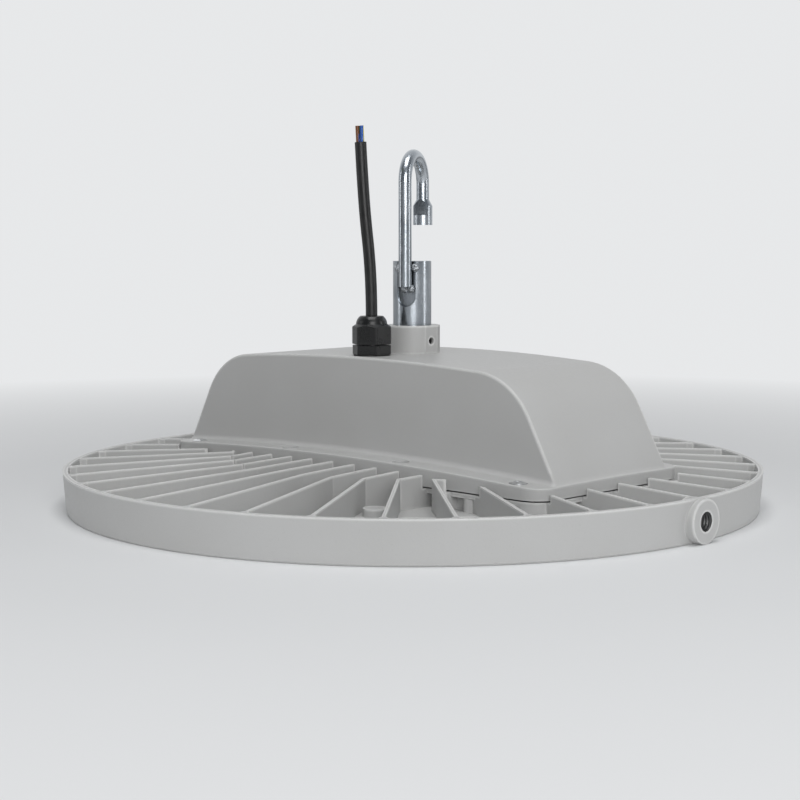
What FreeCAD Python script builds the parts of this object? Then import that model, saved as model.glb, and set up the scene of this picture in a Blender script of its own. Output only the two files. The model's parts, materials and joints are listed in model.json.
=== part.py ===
"""High bay light: finned ring heat sink, loaf-shaped driver housing, hook and cable gland.

Millimetres. +Z up, X along the driver housing. The origin is the middle of the lower rim,
on which the light can stand. Every size is a cell of the spreadsheet "sizes".
"""
import FreeCAD
import Part
import Sketcher
import math
import os
import re

from FreeCAD import Placement, Rotation, Vector

SIZES = {
    # Shared clearances
    "fit_gap": 0.1, "hole_gap": 0.35,
    # Heat sink: ring and its two side bosses
    "ring_radius": 200.0, "ring_height": 23.0, "ring_draft": 1.8, "lip_width": 3.0,
    "ring_round": 1.2, "side_radius": 11.5, "side_proud": 3.5, "side_depth": 13.0,
    "side_root": 5.0, "side_bore": 5.1,
    # Heat sink: fins
    "fin_count": 36, "inner_pairs": 5, "fin_thickness": 2.0, "fin_foot": 4.0, "fin_pitch": 17.05,
    "fin_gap": 2.5, "knee_radius": 105.0, "flare_length": 4.0, "flare_width": 6.0, "fin_drop": 3.2,
    # Heat sink: floor, pedestal of the housing and small bosses
    "disc_radius": 126.0, "floor_top": 11.0, "floor_thickness": 3.0, "joint_height": 20.9,
    "pedestal_inset": 0.8, "pedestal_wall": 11.0, "flange_thickness": 2.5, "recess_depth": 5.0,
    "post_radius": 4.0, "post_along": 97.0, "tray_corner": 4.0, "rim_post_radius": 6.5,
    "rim_post_rise": 4.2,
    # Driver housing
    "skirt_length": 146.8, "skirt_width": 61.6, "skirt_corner": 12.0, "skirt_apex": 33.3,
    "skirt_sphere": 2283.0, "skirt_round": 0.6,
    "body_width": 47.3, "body_length": 145.2, "body_base": 28.6, "body_top": 86.5,
    "end_slope": 28.5, "shoulder_radius": 43.0, "crown_radius": 1410.0, "body_round": 1.0,
    "foot_round": 2.5, "housing_wall": 3.0,
    "neck_boss_radius": 16.0, "neck_boss_top": 102.4, "neck_seat": 89.5, "facet_place": 15.2,
    # Gasket and housing screws
    "gasket_thickness": 0.8, "gasket_inset": 1.2,
    "screw_row": 55.2, "screw_outer": 127.5, "screw_inner": 44.5, "screw_seat": 4.6,
    "screw_radius": 2.4, "screw_bite": 7.0, "head_radius": 4.4, "head_height": 3.0,
    "cross_length": 4.6, "cross_width": 1.1, "cross_depth": 1.3,
    # Hook
    "stem_radius": 11.0, "stem_top": 139.2, "stem_tail": 19.0, "tail_radius": 8.0,
    "rod_radius": 3.75, "rod_offset": 12.0, "bend_radius": 15.25, "bend_height": 184.0,
    "rod_start": 124.6, "nose_base": 159.9, "nose_top": 174.6, "nose_radius": 5.7,
    "nose_slope": 3.6, "hook_azimuth": 114.4, "notch_height": 9.0,
    "groove_width": 11.0, "groove_base": 113.2, "weld_radius": 2.4,
    "nut_flats": 24.0, "nut_height": 8.0, "washer_height": 2.0, "washer_radius": 15.0,
    "grub_radius": 2.0, "grub_height": 93.7, "grub_socket": 2.0, "grub_length": 2.7,
    # Cable gland and cable
    "gland_place": 33.0, "gland_thread": 8.0, "gland_seat": 0.3, "gland_flats": 19.4,
    "gland_washer": 0.9, "gland_washer_radius": 10.2, "gland_hex": 5.2, "gland_tail": 12.0,
    "locknut_flats": 20.0, "locknut_height": 5.0, "neck_thread": 8.4, "neck_rise": 9.0,
    "cap_flats": 20.0, "cap_gap": 0.7, "cap_side": 9.5, "cap_cone": 1.7, "cap_dome": 4.5,
    "cap_shoulder": 8.8, "cap_mouth": 6.4, "cap_wall": 1.9, "cap_bulge": 0.6,
    "cable_radius": 3.3, "core_radius": 1.1, "core_length": 9.0, "core_circle": 1.45,
    # Light source
    "pad_thickness": 0.5, "board_radius": 110.0, "board_thickness": 1.5, "led_size": 3.4,
    "led_height": 0.6, "led_pitch": 20.0, "led_rings": 5, "lens_gap": 0.5,
    "chamber_radius": 113.0, "lens_radius": 118.0, "lens_thickness": 2.0, "seal_thickness": 1.1,
    "bezel_thickness": 1.8, "bezel_opening": 112.0, "bezel_screws": 12, "bezel_circle": 121.9,
    "bezel_screw": 1.7, "bezel_bite": 7.0, "bezel_head": 3.2, "bezel_head_height": 0.9,
    # Driver
    "driver_length": 190.0, "driver_width": 76.0, "driver_height": 32.0, "driver_tab": 11.0,
    "tab_thickness": 1.8, "driver_place": -2.0, "lead_place": 104.0,
    "lead_radius": 1.4, "lead_spread": 4.4, "lead_hole": 5.0, "lead_rise": 9.0,
    "tab_screw": 2.0, "tab_bite": 2.2, "tab_head": 3.8, "tab_head_height": 2.2, "tab_row": 28.0,
    "terminal_length": 30.0, "terminal_width": 14.0, "terminal_height": 12.0,
}

doc = FreeCAD.newDocument("high_bay_light")
sheet = doc.addObject("Spreadsheet::Sheet", "sizes")
for row, (alias, size) in enumerate(SIZES.items(), start=1):
    sheet.set(f"A{row}", alias)
    sheet.set(f"B{row}", str(size))
    sheet.setAlias(f"B{row}", alias)
doc.recompute()
sub_parts = []

# Levels that follow from the sizes, as expressions of the sheet's cells.
SKIRT_BASE = "(joint_height + gasket_thickness)"
FLOOR_BASE = "(floor_top - floor_thickness)"
LIP = "(ring_radius - lip_width)"
BOARD_BASE = f"({FLOOR_BASE} - pad_thickness - board_thickness)"
LENS_TOP = f"({BOARD_BASE} - led_height - lens_gap)"
LENS_BASE = f"({LENS_TOP} - lens_thickness)"
BEZEL_BASE = f"({LENS_BASE} - bezel_thickness)"
INNER_TOP = "(body_top - housing_wall)"
GLAND_BASE = "(body_top - gland_seat)"
HEX_BASE = f"({GLAND_BASE} + gland_washer)"
CAP_BASE = f"({HEX_BASE} + gland_hex + cap_gap)"
CAP_TOP = f"({CAP_BASE} + cap_side + cap_cone + cap_dome)"
DRIVER_TOP = "(floor_top + driver_height)"
HEAD_SEAT = f"({SKIRT_BASE} + screw_seat)"


# ---------------------------------------------------------------- sketches and features

def bound(expression):
    """The expression with every alias written as a reference to the sheet."""
    return re.sub(r"[a-z]+(?:_[a-z]+)+", lambda found: f"sizes.{found.group()}", expression)


def value(expression):
    """The number that an expression of the sheet's cells gives."""
    return float(sheet.evalExpression(expression))


def new_body(name):
    """A PartDesign body that may hold several separate solids."""
    body = doc.addObject("PartDesign::Body", name)
    body.Label = name
    body.AllowCompound = True
    sub_parts.append(body)
    return body


def new_sketch(body, role="XY_Plane", offset="0"):
    """A sketch on one of the body's own origin planes, moved along the plane's normal."""
    sketch = body.newObject("Sketcher::SketchObject", f"{body.Name}_sketch")
    plane = next(item for item in body.Origin.OriginFeatures if item.Role == role)
    sketch.AttachmentSupport = [(plane, "")]
    sketch.MapMode = "FlatFace"
    sketch.setExpression("AttachmentOffset.Base.z", bound(offset))
    return sketch


def constrain(sketch, kind, *references, expression):
    """A dimension of the sketch bound to an expression."""
    number = sketch.addConstraint(Sketcher.Constraint(kind, *references, value(expression)))
    sketch.setExpression(f".Constraints[{number}]", bound(expression))


def place_point(sketch, curve, end, point):
    """Hold one end of a curve at a point given by two expressions."""
    constrain(sketch, "DistanceX", -1, 1, curve, end, expression=point[0])
    constrain(sketch, "DistanceY", -1, 1, curve, end, expression=point[1])


def draw_outline(sketch, corners):
    """A closed outline of straight lines through corners given as pairs of expressions."""
    points = [Vector(value(across), value(along), 0) for across, along in corners]
    lines = [sketch.addGeometry(Part.LineSegment(*pair))
             for pair in zip(points, points[1:] + points[:1])]
    for line, following in zip(lines, lines[1:] + lines[:1]):
        sketch.addConstraint(Sketcher.Constraint("Coincident", line, 2, following, 1))
    for line, corner in zip(lines, corners):
        place_point(sketch, line, 1, corner)


def draw_circle(sketch, centre, radius):
    """A circle with its centre and radius bound to expressions."""
    middle = Vector(value(centre[0]), value(centre[1]), 0)
    circle = sketch.addGeometry(Part.Circle(middle, Vector(0, 0, 1), value(radius)))
    place_point(sketch, circle, 3, centre)
    constrain(sketch, "Radius", circle, expression=radius)


def draw_rounded(sketch, length, width, corner):
    """A rectangle about the origin from half its length and width, with round corners."""
    radius = value(corner)
    arcs, lines, centres, ends = [], [], [], []
    for turn, (along, across) in enumerate(((1, 1), (-1, 1), (-1, -1), (1, -1))):
        centre = (f"{along} * ({length} - {corner})", f"{across} * ({width} - {corner})")
        middle = Vector(value(centre[0]), value(centre[1]), 0)
        circle = Part.Circle(middle, Vector(0, 0, 1), radius)
        start = math.radians(90 * turn)
        arcs.append(sketch.addGeometry(Part.ArcOfCircle(circle, start, start + math.pi / 2)))
        centres.append(centre)
        ends.append([middle + radius * Vector(math.cos(angle), math.sin(angle), 0)
                     for angle in (start, start + math.pi / 2)])
    for (_, leave), (arrive, _) in zip(ends, ends[1:] + ends[:1]):
        lines.append(sketch.addGeometry(Part.LineSegment(leave, arrive)))
    for arc, line, following, centre in zip(arcs, lines, arcs[1:] + arcs[:1], centres):
        sketch.addConstraint(Sketcher.Constraint("Tangent", arc, 2, line, 1))
        sketch.addConstraint(Sketcher.Constraint("Tangent", line, 2, following, 1))
        place_point(sketch, arc, 3, centre)
        constrain(sketch, "Radius", arc, expression=corner)


def extrude(kind, sketch, length, reverse=False, midplane=False):
    """A Pad or a Pocket of a sketch, with its length bound to an expression."""
    body = sketch.getParentGeoFeatureGroup()
    feature = body.newObject(f"PartDesign::{kind}", f"{body.Name}_{kind.lower()}")
    feature.Profile = sketch
    feature.Reversed = reverse
    feature.Midplane = midplane
    feature.setExpression("Length", bound(length))
    sketch.Visibility = False
    return feature


def pad(sketch, length, **options):
    """Material along the sketch's normal."""
    return extrude("Pad", sketch, length, **options)


def pocket(sketch, length, **options):
    """A cut against the sketch's normal."""
    return extrude("Pocket", sketch, length, **options)


def turn(kind, sketch):
    """A full Revolution or Groove of a sketch of the XZ plane about the vertical axis."""
    body = sketch.getParentGeoFeatureGroup()
    feature = body.newObject(f"PartDesign::{kind}", f"{body.Name}_{kind.lower()}")
    feature.Profile = sketch
    feature.ReferenceAxis = (sketch, ["V_Axis"])
    feature.Angle = 360
    sketch.Visibility = False
    return feature


def round_pattern(body, features, count):
    """Copies of features at equal steps about the vertical axis."""
    pattern = body.newObject("PartDesign::PolarPattern", f"{body.Name}_pattern")
    pattern.Originals = features
    axis = next(item for item in body.Origin.OriginFeatures if item.Role == "Z_Axis")
    pattern.Axis = (axis, [""])
    pattern.Angle = 360
    pattern.setExpression("Occurrences", bound(count))
    body.Tip = pattern
    return pattern


def round_edges(body, chosen, radius):
    """A fillet of every edge of the body's tip that the given test accepts."""
    doc.recompute()
    base = body.Tip
    names = [f"Edge{number}" for number, edge in enumerate(base.Shape.Edges, start=1)
             if chosen(edge)]
    fillet = body.newObject("PartDesign::Fillet", f"{body.Name}_fillet")
    fillet.Base = (base, names)
    fillet.setExpression("Radius", bound(radius))
    return fillet


def add_shape(name, shape):
    """A sub-part whose shape is made by Part's own functions from the sheet's values."""
    feature = doc.addObject("Part::Feature", name)
    feature.Label = name
    feature.Shape = shape
    sub_parts.append(feature)
    return feature


def hexagon(centre, flats, first=30):
    """The corners of a hexagon given by its distance across flats."""
    reach = f"{flats} / (2 * cos(30))"
    return [(f"{centre[0]} + {reach} * cos({first + 60 * corner})",
             f"{centre[1]} + {reach} * sin({first + 60 * corner})") for corner in range(6)]


def mirrored(along, across):
    """The four places at plus and minus two distances."""
    return [(f"{x_sign} * {along}", f"{y_sign} * {across}")
            for x_sign in (1, -1) for y_sign in (1, -1)]


def bezel_place(number):
    """The place of one screw of the lens ring, midway between two blades."""
    angle = f"({number} * 360 / bezel_screws + 180 / fin_count)"
    return (f"bezel_circle * cos{angle}", f"bezel_circle * sin{angle}")


HOUSING_SCREWS = mirrored("screw_outer", "screw_row") + mirrored("screw_inner", "screw_row")
BEZEL_SCREWS = [bezel_place(number) for number in range(SIZES["bezel_screws"])]
GLAND_CENTRE = ("0", "-gland_place")


# ---------------------------------------------------------------- heat sink

def blade_corners(count, side):
    """An inner blade's outline from above: knee circle, skirt, then straight into the wall."""
    turned = f"{count} * 360 / fin_count"
    knee_x = f"knee_radius * sin({turned})"
    knee_y = f"{-side} * knee_radius * cos({turned})"
    end_x = f"fin_pitch * {count}"
    end_y = f"{-side} * (skirt_width + fin_gap)"
    wall_y = f"{-side} * (skirt_width - pedestal_wall + 1)"
    half = "fin_thickness / 2"
    return [(f"{knee_x} - {half}", knee_y), (f"{knee_x} + {half}", knee_y),
            (f"{end_x} + {half}", end_y), (f"{end_x} + {half}", wall_y),
            (f"{end_x} - {half}", wall_y), (f"{end_x} - {half}", end_y)]


def make_heat_sink():
    """The one-piece casting: ring, 36 outer blades, bent inner blades, floor and pedestal."""
    body = new_body("heat_sink")

    ring = new_sketch(body, "XZ_Plane")
    draw_outline(ring, [("ring_radius - ring_draft", "0"), ("ring_radius", "ring_height"),
                        (LIP, "ring_height"), (f"{LIP} - ring_draft", "0")])
    turn("Revolution", ring)
    round_edges(body, lambda edge: edge.BoundBox.ZMax < 0.1
                and edge.BoundBox.XMax > value(LIP), "ring_round")

    disc = new_sketch(body, "XZ_Plane")
    step = f"{LENS_TOP} + seal_thickness"
    seat = "lens_radius + hole_gap"
    draw_outline(disc, [("0", "floor_top"), ("disc_radius", "floor_top"),
                        ("disc_radius", LENS_BASE), (seat, LENS_BASE), (seat, step),
                        ("chamber_radius", step), ("chamber_radius", FLOOR_BASE),
                        ("0", FLOOR_BASE)])
    turn("Revolution", disc)

    length, width = "(skirt_length - pedestal_inset)", "(skirt_width - pedestal_inset)"
    flange_base = "(joint_height - flange_thickness)"
    for base, top, inset in ((FLOOR_BASE, "floor_top", "0"), (flange_base, "joint_height", "0"),
                             ("floor_top", flange_base, "recess_depth")):
        wall = new_sketch(body, offset=base)
        draw_rounded(wall, f"({length} - {inset})", f"({width} - {inset})", "skirt_corner")
        pad(wall, f"{top} - {base}")
    pillars = new_sketch(body, offset="floor_top")
    for place in mirrored(f"({length} - skirt_corner)", f"({width} - skirt_corner)"):
        draw_circle(pillars, place, "skirt_corner")
    for place in mirrored("screw_inner", "screw_row"):
        draw_circle(pillars, place, f"{width} - screw_row")
    for place in mirrored("post_along", f"({width} - post_radius)"):
        draw_circle(pillars, place, "post_radius")
    pad(pillars, f"{flange_base} - floor_top")

    inner_floor = "(floor_top - floor_thickness / 2)"
    knee_top = "(skirt_apex - fin_drop - knee_radius * knee_radius / (2 * skirt_sphere))"
    blade = new_sketch(body, "XZ_Plane")
    draw_outline(blade, [("knee_radius", inner_floor), ("disc_radius - 1", inner_floor),
                         ("disc_radius - 1", "fin_foot"), (f"{LIP} + 1", "fin_foot"),
                         (f"{LIP} + 1", "ring_height"), (LIP, "ring_height"),
                         ("knee_radius", "skirt_apex")])
    outer_blade = pad(blade, "fin_thickness", midplane=True)
    root = new_sketch(body, offset="fin_foot")
    draw_outline(root, [(f"{LIP} - flare_length", "fin_thickness / 2"),
                        (f"{LIP} - flare_length", "-fin_thickness / 2"),
                        (f"{LIP} + 1", "-flare_width / 2"), (f"{LIP} + 1", "flare_width / 2")])
    flare = pad(root, "ring_height - fin_foot")
    round_pattern(body, [outer_blade, flare], "fin_count")

    inner = new_sketch(body, offset=inner_floor)
    pairs = SIZES["inner_pairs"]
    for side in (1, -1):
        for count in range(-pairs, pairs + 1):
            draw_outline(inner, blade_corners(count, side))
    pad(inner, f"skirt_apex - {inner_floor}")

    crest = new_sketch(body, "XZ_Plane")
    centre, knee, lip = Vector(0, value("skirt_apex - fin_drop")), value("knee_radius"), value(LIP)
    edge, rim = Vector(knee, value(knee_top)), Vector(lip, value("ring_height"))
    crown = Vector(knee / 2, centre.y - (centre.y - edge.y) / 4)
    over = value("skirt_apex") + 1
    crest.addGeometry(Part.Arc(centre, crown, edge))
    for pair in ((edge, rim), (rim, Vector(lip, over)), (Vector(lip, over), Vector(0, over)),
                 (Vector(0, over), centre)):
        crest.addGeometry(Part.LineSegment(*pair))
    turn("Groove", crest)

    around = new_sketch(body, offset="joint_height")
    draw_rounded(around, "(skirt_length + fin_gap)", "(skirt_width + fin_gap)",
                 "(skirt_corner + fin_gap)")
    pocket(around, "ring_height", reverse=True)

    tray = new_sketch(body, offset="floor_top")
    draw_rounded(tray, "(skirt_length - pedestal_wall)", "(skirt_width - pedestal_wall)",
                 "tray_corner")
    pocket(tray, "ring_height", reverse=True)

    rim_posts = new_sketch(body, offset="floor_top - 1")
    for place in BEZEL_SCREWS:
        draw_circle(rim_posts, place, "rim_post_radius")
    pad(rim_posts, "rim_post_rise + 1")

    side_bosses = new_sketch(body, "YZ_Plane", offset="ring_radius - lip_width - side_root")
    draw_circle(side_bosses, ("0", "side_radius"), "side_radius")
    boss = pad(side_bosses, "side_root + lip_width + side_proud")
    round_pattern(body, [boss], "2")
    for side in (1, -1):
        bore = new_sketch(body, "YZ_Plane", offset=f"{side} * (ring_radius + side_proud)")
        draw_circle(bore, ("0", "side_radius"), "side_bore")
        pocket(bore, "side_depth", reverse=side < 0)

    joint_holes = new_sketch(body, offset="joint_height")
    for place in HOUSING_SCREWS:
        draw_circle(joint_holes, place, "screw_radius")
    pocket(joint_holes, "screw_bite + 1")
    ring_holes = new_sketch(body, offset=LENS_BASE)
    for place in BEZEL_SCREWS:
        draw_circle(ring_holes, place, "bezel_screw")
    pocket(ring_holes, "bezel_bite + 1", reverse=True)
    floor_holes = new_sketch(body, offset="floor_top")
    for place in TAB_SCREWS:
        draw_circle(floor_holes, place, "tab_screw")
    pocket(floor_holes, "tab_bite + 0.5")
    lead_hole = new_sketch(body, offset="floor_top")
    draw_circle(lead_hole, ("lead_place", "0"), "lead_hole")
    pocket(lead_hole, "floor_thickness + 1")


# ---------------------------------------------------------------- driver housing

def draw_silhouette(sketch, inset, base):
    """The loaf profile: a crown arc, two shoulder arcs and two sloping ends, moved inward."""
    gap, low = value(inset), value(base)
    slope = math.radians(value("end_slope"))
    along, out = Vector(-math.sin(slope), math.cos(slope)), Vector(math.cos(slope), math.sin(slope))
    crown_radius, shoulder_radius = value("crown_radius") - gap, value("shoulder_radius") - gap
    crown_centre = Vector(0, value("body_top - crown_radius"))
    corner = Vector(value("body_length"), value("body_base")) - gap * out
    corner = corner + along * ((low - corner.y) / along.y)
    start = corner - shoulder_radius * out - crown_centre
    reach = crown_radius - shoulder_radius
    half = start.dot(along)
    travel = -half + math.sqrt(half ** 2 - start.dot(start) + reach ** 2)
    shoulder = crown_centre + start + travel * along
    line_end = shoulder + shoulder_radius * out
    crown_end = crown_centre + (shoulder - crown_centre).normalize() * crown_radius

    def middle(centre, radius, first, second):
        return centre + ((first - centre).normalize() + (second - centre).normalize()
                         ).normalize() * radius

    def flip(point):
        return Vector(-point.x, point.y)

    joint = middle(shoulder, shoulder_radius, line_end, crown_end)
    curves = [Part.LineSegment(flip(corner), corner), Part.LineSegment(corner, line_end),
              Part.Arc(line_end, joint, crown_end),
              Part.Arc(crown_end, crown_centre + Vector(0, crown_radius), flip(crown_end)),
              Part.Arc(flip(crown_end), flip(joint), flip(line_end)),
              Part.LineSegment(flip(line_end), flip(corner))]
    for curve in curves:
        sketch.addGeometry(curve)


def make_driver_housing():
    """The cast cover: a crowned skirt, the loaf above it, and the boss of the hook."""
    body = new_body("driver_housing")
    skirt = new_sketch(body, offset=SKIRT_BASE)
    draw_rounded(skirt, "skirt_length", "skirt_width", "skirt_corner")
    pad(skirt, f"skirt_apex - {SKIRT_BASE}")
    reach = value("skirt_length + skirt_width")
    drop = reach ** 2 / (2 * value("skirt_sphere"))
    apex = value("skirt_apex")
    crown = new_sketch(body, "XZ_Plane")
    arc = Part.Arc(Vector(0, apex), Vector(reach / 2, apex - drop / 4), Vector(reach, apex - drop))
    crown.addGeometry(arc)
    crown.addGeometry(Part.LineSegment(Vector(reach, apex - drop), Vector(reach, apex + drop)))
    crown.addGeometry(Part.LineSegment(Vector(reach, apex + drop), Vector(0, apex + drop)))
    crown.addGeometry(Part.LineSegment(Vector(0, apex + drop), Vector(0, apex)))
    turn("Groove", crown)
    round_edges(body, lambda edge: edge.BoundBox.ZMin > value(SKIRT_BASE) + 2
                and edge.Length > 5, "skirt_round")

    loaf = new_sketch(body, "XZ_Plane")
    draw_silhouette(loaf, "0", "(body_base - 1)")
    pad(loaf, "2 * body_width", midplane=True)
    round_edges(body, lambda edge: abs(abs(edge.CenterOfMass.y) - value("body_width")) < 0.01
                and edge.BoundBox.ZMax > value("skirt_apex") + 5, "body_round")
    round_edges(body, lambda edge: abs(abs(edge.CenterOfMass.y) - value("body_width")) < 0.01
                and edge.BoundBox.ZMin > value(SKIRT_BASE) + 3
                and edge.BoundBox.ZMax < value("skirt_apex") + 0.5
                and edge.Length > value("body_length"), "foot_round")

    cavity = new_sketch(body, "XZ_Plane")
    draw_silhouette(cavity, "housing_wall", "body_base")
    pocket(cavity, "2 * (body_width - housing_wall)", midplane=True)
    mouth = new_sketch(body, offset="body_base")
    draw_rounded(mouth, "(skirt_length - pedestal_wall)", "(body_width - housing_wall)",
                 "tray_corner")
    pocket(mouth, f"body_base - {SKIRT_BASE} + 1")

    boss = new_sketch(body, offset=f"{INNER_TOP} + 1")
    draw_circle(boss, ("0", "0"), "neck_boss_radius")
    pad(boss, f"neck_boss_top - {INNER_TOP} - 1")
    facet = new_sketch(body, offset="neck_boss_top")
    beyond = "neck_boss_radius + 1"
    draw_outline(facet, [("facet_place", "-neck_boss_radius"), (beyond, "-neck_boss_radius"),
                         (beyond, "neck_boss_radius"), ("facet_place", "neck_boss_radius")])
    pocket(facet, "neck_boss_top - body_top")
    socket = new_sketch(body, offset="neck_boss_top")
    draw_circle(socket, ("0", "0"), "stem_radius + fit_gap")
    pocket(socket, "neck_boss_top - neck_seat")
    tail_hole = new_sketch(body, offset="neck_seat")
    draw_circle(tail_hole, ("0", "0"), "tail_radius + fit_gap")
    pocket(tail_hole, f"neck_seat - {INNER_TOP} + 1")
    grub_hole = new_sketch(body, "YZ_Plane", offset="facet_place + 1")
    draw_circle(grub_hole, ("0", "grub_height"), "grub_radius")
    pocket(grub_hole, "facet_place + 1")

    seat = new_sketch(body, offset="body_top + 1")
    draw_circle(seat, GLAND_CENTRE, "gland_washer_radius + 1")
    pocket(seat, "gland_seat + 1")
    entry = new_sketch(body, offset="body_top")
    draw_circle(entry, GLAND_CENTRE, "gland_thread + fit_gap")
    pocket(entry, "housing_wall + 2")

    heads = new_sketch(body, offset="skirt_apex")
    for place in HOUSING_SCREWS:
        draw_circle(heads, place, "head_radius + hole_gap")
    pocket(heads, f"skirt_apex - {HEAD_SEAT}")
    shanks = new_sketch(body, offset=HEAD_SEAT)
    for place in HOUSING_SCREWS:
        draw_circle(shanks, place, "screw_radius + fit_gap")
    pocket(shanks, "screw_seat + 1")


def make_gasket():
    """The flat seal between the pedestal and the skirt."""
    body = new_body("housing_gasket")
    seal = new_sketch(body, offset="joint_height")
    draw_rounded(seal, "(skirt_length - gasket_inset)", "(skirt_width - gasket_inset)",
                 "skirt_corner")
    pad(seal, "gasket_thickness")
    window = new_sketch(body, offset="joint_height")
    draw_rounded(window, "(skirt_length - pedestal_wall)", "(skirt_width - pedestal_wall)",
                 "tray_corner")
    pocket(window, "gasket_thickness + 1", reverse=True)
    holes = new_sketch(body, offset="joint_height")
    for place in HOUSING_SCREWS:
        draw_circle(holes, place, "screw_radius + fit_gap")
    pocket(holes, "gasket_thickness + 1", reverse=True)


# ---------------------------------------------------------------- fasteners

def cross_corners(centre):
    """The twelve corners of a cross recess."""
    long, short = "cross_length / 2", "cross_width / 2"
    pattern = [(long, short), (short, short), (short, long)]
    corners = []
    for x_sign, y_sign in ((1, 1), (-1, 1), (-1, -1), (1, -1)):
        steps = pattern if x_sign * y_sign > 0 else pattern[::-1]
        corners += [(f"{centre[0]} + {x_sign} * {across}", f"{centre[1]} + {y_sign} * {along}")
                    for across, along in steps]
    return corners


def make_screws(name, places, seat, head, shank, down=True, cross=False):
    """Separate screws: heads on a seat level and shanks that run the other way."""
    body = new_body(name)
    heads = new_sketch(body, offset=seat)
    for place in places:
        draw_circle(heads, place, head[0])
    pad(heads, head[1], reverse=not down)
    shanks = new_sketch(body, offset=seat)
    for place in places:
        draw_circle(shanks, place, f"{shank[0]} - fit_gap / 2")
    pad(shanks, shank[1], reverse=down)
    if cross:
        recess = new_sketch(body, offset=f"{seat} + {head[1]}")
        for place in places:
            draw_outline(recess, cross_corners(place))
        pocket(recess, "cross_depth")
    return body


TAB_SCREWS = [(f"driver_place + {side} * (driver_length / 2 + driver_tab / 2)", f"{row} * tab_row")
              for side in (1, -1) for row in (1, -1)]


def make_fasteners():
    """Housing screws, driver screws and the screws of the lens ring."""
    make_screws("housing_screws", HOUSING_SCREWS, HEAD_SEAT, ("head_radius", "head_height"),
                ("screw_radius", "screw_seat + gasket_thickness + screw_bite"), cross=True)
    make_screws("driver_screws", TAB_SCREWS, "floor_top + tab_thickness",
                ("tab_head", "tab_head_height"), ("tab_screw", "tab_thickness + tab_bite"))
    make_screws("lens_screws", BEZEL_SCREWS, BEZEL_BASE, ("bezel_head", "bezel_head_height"),
                ("bezel_screw", "bezel_thickness + bezel_bite"), down=False)


# ---------------------------------------------------------------- driver

def make_driver():
    """The power supply with its two fixing tabs, the terminal block on its lid, and its leads."""
    body = new_body("led_driver")
    case = new_sketch(body, offset="floor_top")
    left, right = "driver_place - driver_length / 2", "driver_place + driver_length / 2"
    draw_outline(case, [(left, "-driver_width / 2"), (right, "-driver_width / 2"),
                        (right, "driver_width / 2"), (left, "driver_width / 2")])
    pad(case, "driver_height")
    tabs = new_sketch(body, offset="floor_top")
    draw_outline(tabs, [(f"{left} - driver_tab", "-driver_width / 2"),
                        (f"{right} + driver_tab", "-driver_width / 2"),
                        (f"{right} + driver_tab", "driver_width / 2"),
                        (f"{left} - driver_tab", "driver_width / 2")])
    pad(tabs, "tab_thickness")
    holes = new_sketch(body, offset="floor_top")
    for place in TAB_SCREWS:
        draw_circle(holes, place, "tab_screw + fit_gap")
    pocket(holes, "tab_thickness + 1", reverse=True)
    notch = new_sketch(body, offset="floor_top")
    inner_end, outer_end = f"{right} + 0.5", f"{right} + driver_tab + 1"
    draw_outline(notch, [(inner_end, "-lead_hole"), (outer_end, "-lead_hole"),
                         (outer_end, "lead_hole"), (inner_end, "lead_hole")])
    pocket(notch, "tab_thickness + 1", reverse=True)

    block = new_body("terminal_block")
    base = new_sketch(block, offset=DRIVER_TOP)
    near, far = "-gland_place - terminal_width / 2", "-gland_place + terminal_width / 2"
    draw_outline(base, [("-terminal_length / 2", near), ("terminal_length / 2", near),
                        ("terminal_length / 2", far), ("-terminal_length / 2", far)])
    pad(base, "terminal_height")

    start, end = value(f"{FLOOR_BASE} - pad_thickness"), value(right)
    rise, place = value("floor_top + lead_rise"), value("lead_place")
    leads = []
    for row in (0.5, -0.5):
        across = row * value("lead_spread")
        route = [Vector(place, across, start), Vector(place, across, rise),
                 Vector(end, across, rise)]
        leads.append(tube(route, value("lead_radius"))[0])
    add_shape("output_leads", Part.makeCompound(leads))


# ---------------------------------------------------------------- light source

def make_disc(name, base, radius, thickness, opening=None):
    """A flat disc or ring about the vertical axis."""
    body = new_body(name)
    disc = new_sketch(body, offset=base)
    draw_circle(disc, ("0", "0"), radius)
    if opening:
        draw_circle(disc, ("0", "0"), opening)
    pad(disc, thickness)
    return body


def make_light_source():
    """Thermal pad, board, lamps, lens with its seal, and the ring that holds the lens."""
    pad_base = f"{FLOOR_BASE} - pad_thickness"
    sheet_pad = make_disc("thermal_pad", pad_base, "board_radius", "pad_thickness")
    passage = new_sketch(sheet_pad, offset=pad_base)
    draw_circle(passage, ("lead_place", "0"), "lead_hole")
    pocket(passage, "pad_thickness + 1", reverse=True)
    make_disc("led_board", BOARD_BASE, "board_radius", "board_thickness")
    make_disc("lens_plate", LENS_BASE, "lens_radius", "lens_thickness")
    make_disc("lens_seal", LENS_TOP, "lens_radius", "seal_thickness", "chamber_radius")
    ring = make_disc("lens_ring", BEZEL_BASE, "disc_radius", "bezel_thickness", "bezel_opening")
    holes = new_sketch(ring, offset=BEZEL_BASE)
    for place in BEZEL_SCREWS:
        draw_circle(holes, place, "bezel_screw + fit_gap")
    pocket(holes, "bezel_thickness + 1", reverse=True)
    size, height = value("led_size"), value("led_height")
    level = value(BOARD_BASE) - height
    lamps = []
    for ring_number in range(1, round(value("led_rings")) + 1):
        for lamp in range(6 * ring_number):
            box = Part.makeBox(size, size, height, Vector(-size / 2, -size / 2, level))
            box.translate(Vector(ring_number * value("led_pitch"), 0, 0))
            box.rotate(Vector(), Vector(0, 0, 1), 60 * lamp / ring_number)
            lamps.append(box)
    add_shape("leds", Part.makeCompound(lamps))


# ---------------------------------------------------------------- hook

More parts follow.
